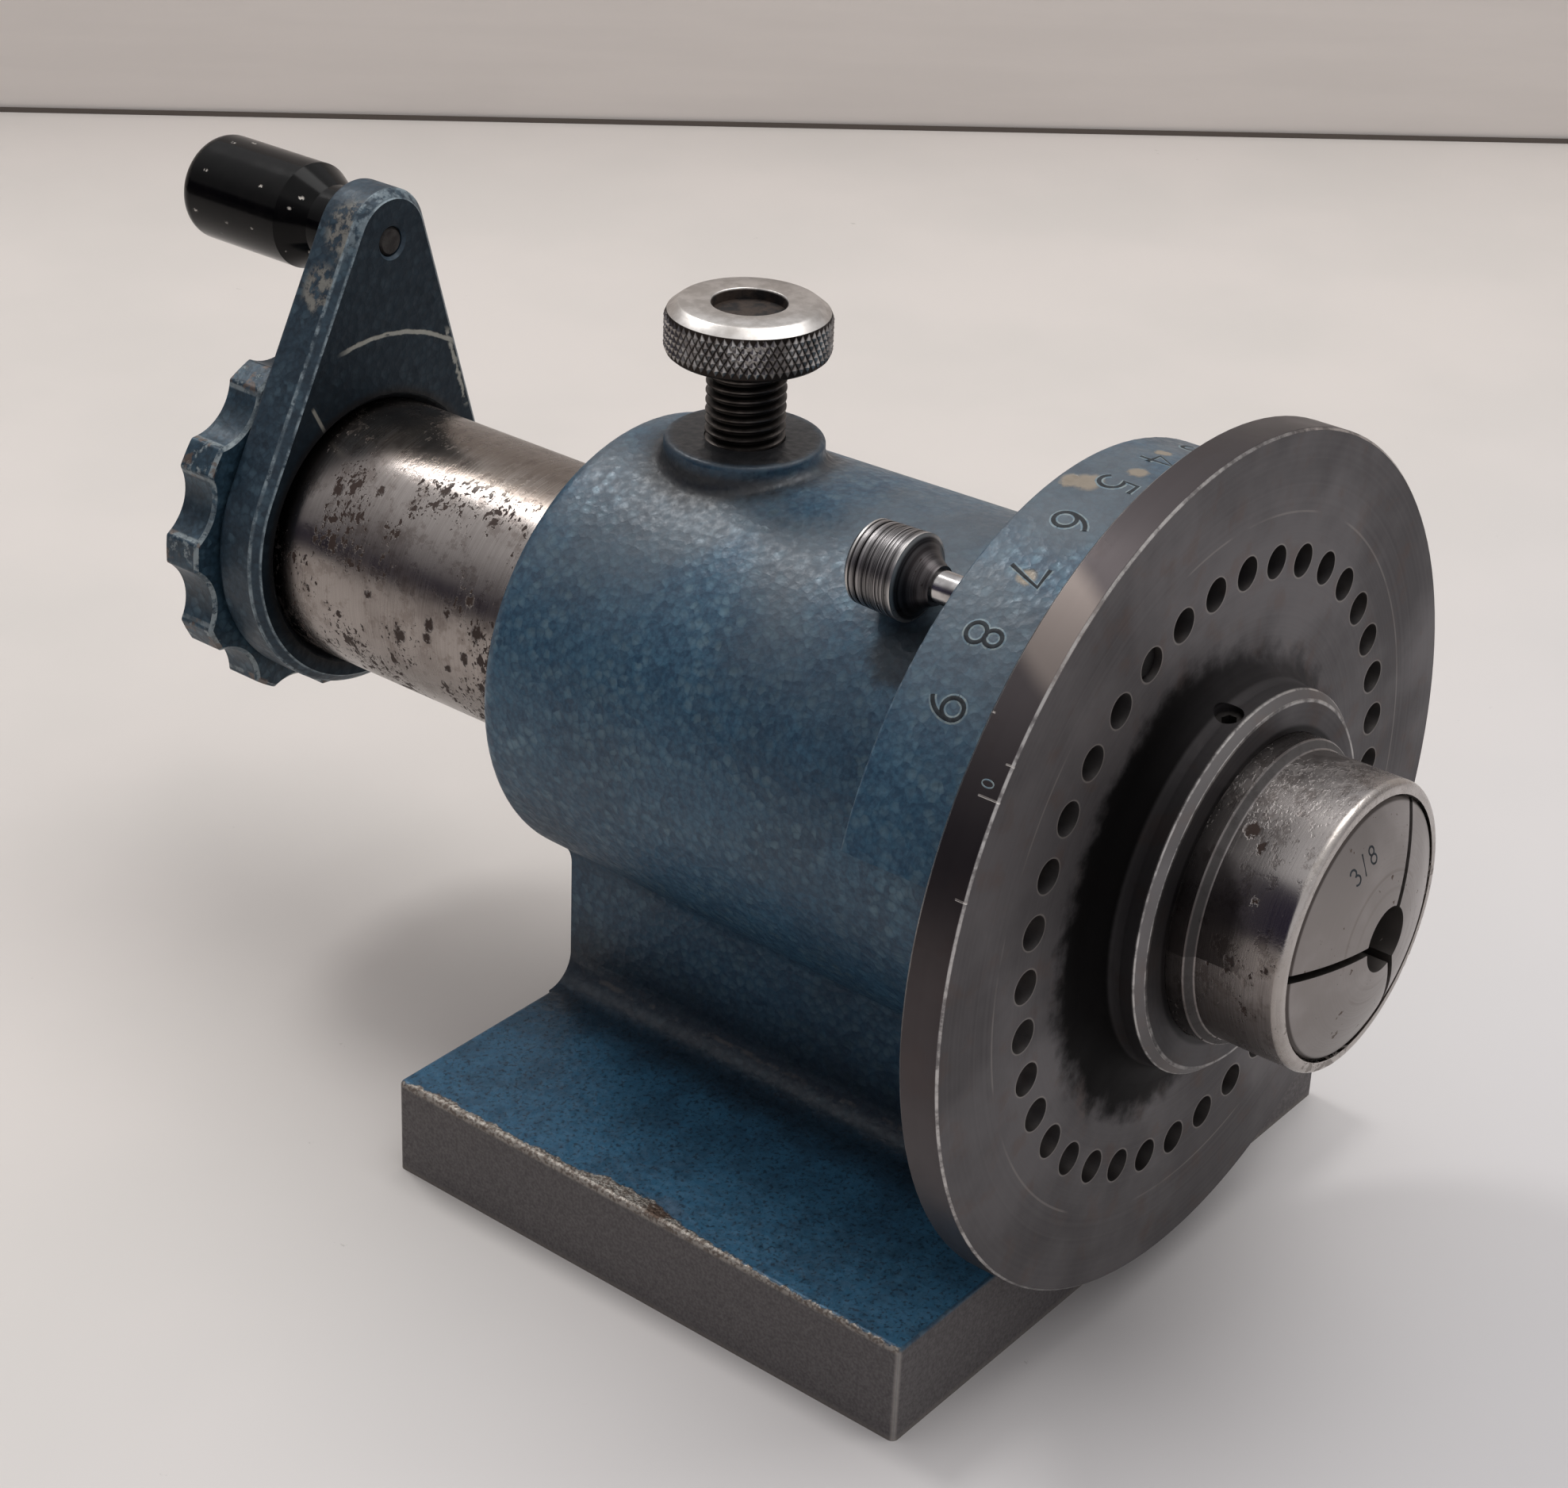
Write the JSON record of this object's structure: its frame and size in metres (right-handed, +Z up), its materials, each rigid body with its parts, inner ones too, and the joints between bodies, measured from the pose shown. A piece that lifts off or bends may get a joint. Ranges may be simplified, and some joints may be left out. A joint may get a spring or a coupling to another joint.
{
  "type": "collet spin indexing fixture",
  "caption": "Spin indexing fixture: a collet spindle with crank and index plate turns in a cast housing, held by an index pin on a vernier and a spindle lock screw.",
  "frame": {"origin": "middle of the base's underside, below the spindle and half way along the base", "axes": "+Z up; -Y along the spindle out of the collet, the crank is at +Y; +X to the right seen from the collet"},
  "size_m": [0.126, 0.2316, 0.1328],
  "materials": {
    "casting_enamel": "blue hammertone enamel over cast iron, bare and worn at the edges",
    "plate_steel": "dull turned steel",
    "ground_steel": "ground, with light rust pits",
    "collet_steel": "satin",
    "black_steel": "black oxide",
    "wheel_enamel": "blue hammertone enamel, worn at the lobes",
    "crank_enamel": "blue hammertone enamel, worn at the edges",
    "grip_plastic": "gloss black",
    "stud_steel": "black oxide, threaded",
    "knob_steel": "bright, knurled",
    "shoe_brass": "plain",
    "pin_steel": "ground"
  },
  "bodies": {
    "frame": {"housing": "casting_enamel"},
    "plate": {"index_plate": "plate_steel", "plate_set_screw": "black_steel"},
    "spindle": {"spindle": "ground_steel", "collet_key": "black_steel", "crank_arm": "crank_enamel", "crank_set_screw": "black_steel", "crank_bolt": "black_steel"},
    "grip": {"handle_grip": "grip_plastic"},
    "draw": {"draw_tube": "ground_steel", "handwheel": "wheel_enamel", "wheel_set_screw": "black_steel"},
    "collet": {"collet": "collet_steel"},
    "lock": {"lock_stud": "stud_steel", "lock_knob": "knob_steel"},
    "shoe": {"lock_shoe": "shoe_brass"},
    "pin": {"index_pin": "pin_steel", "index_knob": "knob_steel"}
  },
  "joints": [
    {"name": "spindle_turn", "type": "hinge", "parent": "frame", "child": "plate", "pos_m": [0, 0, 0.06985], "axis": [0, -1, 0], "continuous": true},
    {"name": "spindle_feed", "type": "slide", "parent": "plate", "child": "spindle", "axis": [0, -1, 0], "range_m": [0, 0.055]},
    {"name": "grip_turn", "type": "hinge", "parent": "spindle", "child": "grip", "pos_m": [0.00471, 0.1164, 0.11872], "axis": [0, 1, 0], "continuous": true},
    {"name": "draw_turn", "type": "hinge", "parent": "spindle", "child": "draw", "pos_m": [0, 0.1167, 0.06985], "axis": [0, 1, 0], "range_deg": [0, 3600]},
    {"name": "collet_travel", "type": "slide", "parent": "spindle", "child": "collet", "axis": [0, -1, 0], "range_m": [0, 0.0127]},
    {"name": "shoe_lift", "type": "slide", "parent": "frame", "child": "shoe", "axis": [0, 0, 1], "range_m": [0, 0.006]},
    {"name": "lock_turn", "type": "hinge", "parent": "shoe", "child": "lock", "pos_m": [0, 0.0298, 0.10944], "axis": [0, 0, 1], "range_deg": [0, 1440]},
    {"name": "pin_pull", "type": "slide", "parent": "frame", "child": "pin", "axis": [0, 1, 0], "range_m": [0, 0.028]}
  ],
  "couplings": [
    {"joint": "collet_travel", "follows": "draw_turn", "m_per_rad": 0.00020213},
    {"joint": "lock_turn", "follows": "shoe_lift", "rad_per_m": 4188.8}
  ]
}
